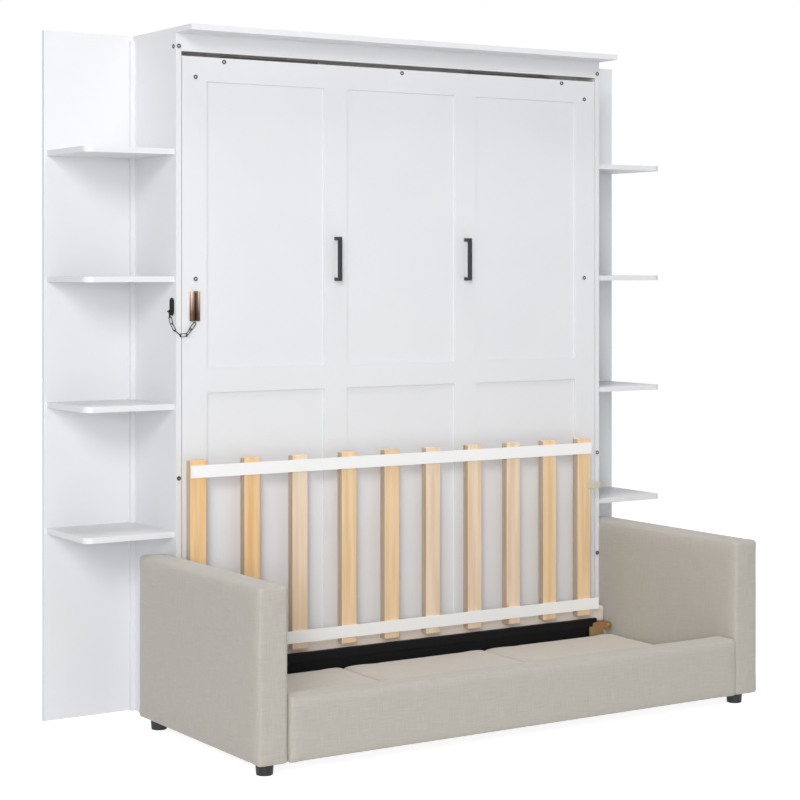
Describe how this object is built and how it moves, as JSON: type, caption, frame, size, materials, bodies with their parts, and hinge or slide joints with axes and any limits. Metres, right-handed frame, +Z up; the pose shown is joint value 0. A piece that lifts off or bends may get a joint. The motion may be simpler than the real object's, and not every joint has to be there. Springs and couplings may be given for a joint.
{
  "type": "wall bed with sofa",
  "caption": "White wall bed cabinet with open side shelves, a fold-down bed face with bar handles, and a beige sofa with a slatted backrest in front.",
  "frame": {"origin": "on the floor, in the middle of the part's width and depth", "axes": "+X to the right along the wall seen from the front, +Y towards the wall, +Z up"},
  "size_m": [2.329, 1.065, 2.22],
  "materials": {
    "white_board": "white satin laminate",
    "upholstery": "plain linen weave",
    "pine": "planed and clear",
    "frame_wood": "planed and clear",
    "black_metal": "satin black",
    "black_plastic": "matte",
    "bright_steel": "nickel plated",
    "bronze": "antique bronze plated",
    "zinc_yellow": "yellow zinc",
    "webbing": "woven"
  },
  "bodies": {
    "base": {"side_panel_left": "white_board", "side_panel_right": "white_board", "top_board": "white_board", "header_board": "white_board", "rear_rail_upper": "white_board", "rear_rail_lower": "white_board", "shelf_back_left": "white_board", "shelf_back_right": "white_board", "corner_battens": "white_board", "shelves_left": "white_board", "shelves_right": "white_board", "cabinet_pivot_left": "bright_steel", "cabinet_pivot_right": "bright_steel", "cabinet_bolts": "bright_steel", "chain_hook_plate": "black_metal", "sofa_arm_left": "upholstery", "sofa_arm_right": "upholstery", "front_rail": "upholstery", "back_rail": "upholstery", "seat_deck": "frame_wood", "back_bar": "black_metal", "sofa_feet": "black_plastic", "seat_pad_left": "upholstery", "seat_pad_middle": "upholstery", "seat_pad_right": "upholstery", "hinge_bracket_left": "zinc_yellow", "hinge_bracket_right": "zinc_yellow"},
    "bed": {"face_board_left": "white_board", "face_board_middle": "white_board", "face_board_right": "white_board", "face_stile_1": "white_board", "face_stile_2": "white_board", "face_stile_3": "white_board", "face_stile_4": "white_board", "face_cross_rails": "white_board", "bed_rail_left": "frame_wood", "bed_rail_right": "frame_wood", "foot_rail": "frame_wood", "head_rail": "frame_wood", "bed_slats": "frame_wood", "bed_pivot_left": "bright_steel", "bed_pivot_right": "bright_steel", "pull_handle_left": "black_metal", "pull_handle_right": "black_metal", "face_bolts": "bright_steel", "chain_track": "bronze"},
    "backrest": {"backrest_slats": "pine", "backrest_rails": "white_board", "backrest_foot_board": "upholstery", "catch_strap": "webbing", "hinge_arm_left": "zinc_yellow", "hinge_arm_right": "zinc_yellow"},
    "leg_left": {"folding_leg_left": "black_metal"},
    "leg_right": {"folding_leg_right": "black_metal"},
    "strut_left": {"strut_tube_left": "black_metal"},
    "strut_right": {"strut_tube_right": "black_metal"},
    "rod_left": {"strut_rod_left": "bright_steel"},
    "rod_right": {"strut_rod_right": "bright_steel"},
    "chain_near": {"guard_chain_upper": "black_metal"},
    "chain_far": {"guard_chain_lower": "black_metal"}
  },
  "joints": [
    {"name": "bed_fold", "type": "hinge", "parent": "base", "child": "bed", "pos_m": [0, 0.2305, 0.303], "axis": [1, 0, 0], "range_deg": [0, 90]},
    {"name": "backrest_fold", "type": "hinge", "parent": "base", "child": "backrest", "pos_m": [0, 0.11, 0.181], "axis": [1, 0, 0], "range_deg": [0, 87]},
    {"name": "leg_swing_left", "type": "hinge", "parent": "bed", "child": "leg_left", "pos_m": [-0.64, 0.2605, 2.131], "axis": [0, 0, -1], "range_deg": [0, 90]},
    {"name": "leg_swing_right", "type": "hinge", "parent": "bed", "child": "leg_right", "pos_m": [0.64, 0.2605, 2.131], "axis": [0, 0, 1], "range_deg": [0, 90]},
    {"name": "strut_swing_left", "type": "hinge", "parent": "base", "child": "strut_left", "pos_m": [-0.815, 0.4785, 0.9], "axis": [1, 0, 0], "range_deg": [0, 6.9]},
    {"name": "strut_swing_right", "type": "hinge", "parent": "base", "child": "strut_right", "pos_m": [0.815, 0.4785, 0.9], "axis": [1, 0, 0], "range_deg": [0, 6.9]},
    {"name": "rod_slide_left", "type": "slide", "parent": "strut_left", "child": "rod_left", "axis": [0, -0.2198, -0.9755], "range_m": [-0.2809, 0]},
    {"name": "rod_slide_right", "type": "slide", "parent": "strut_right", "child": "rod_right", "axis": [0, -0.2198, -0.9755], "range_m": [-0.2809, 0]},
    {"name": "chain_hang", "type": "hinge", "parent": "bed", "child": "chain_near", "pos_m": [-0.7875, 0.19475, 1.296], "axis": [1, 0, 0], "range_deg": [-90, 0]},
    {"name": "chain_drop", "type": "hinge", "parent": "chain_near", "child": "chain_far", "pos_m": [-0.82046, 0.18878, 1.24218], "axis": [0.309, -0.9511, 0], "range_deg": [0, 137]}
  ],
  "couplings": [
    {"joint": "backrest_fold", "follows": "bed_fold", "ratio": 0.96667},
    {"joint": "strut_swing_left", "follows": "bed_fold", "ratio": 0.074884},
    {"joint": "strut_swing_right", "follows": "bed_fold", "ratio": 0.074884},
    {"joint": "rod_slide_left", "follows": "bed_fold", "m_per_rad": -0.17822},
    {"joint": "rod_slide_right", "follows": "bed_fold", "m_per_rad": -0.17822},
    {"joint": "chain_hang", "follows": "bed_fold", "ratio": -1},
    {"joint": "chain_drop", "follows": "bed_fold", "ratio": 1.5217}
  ]
}
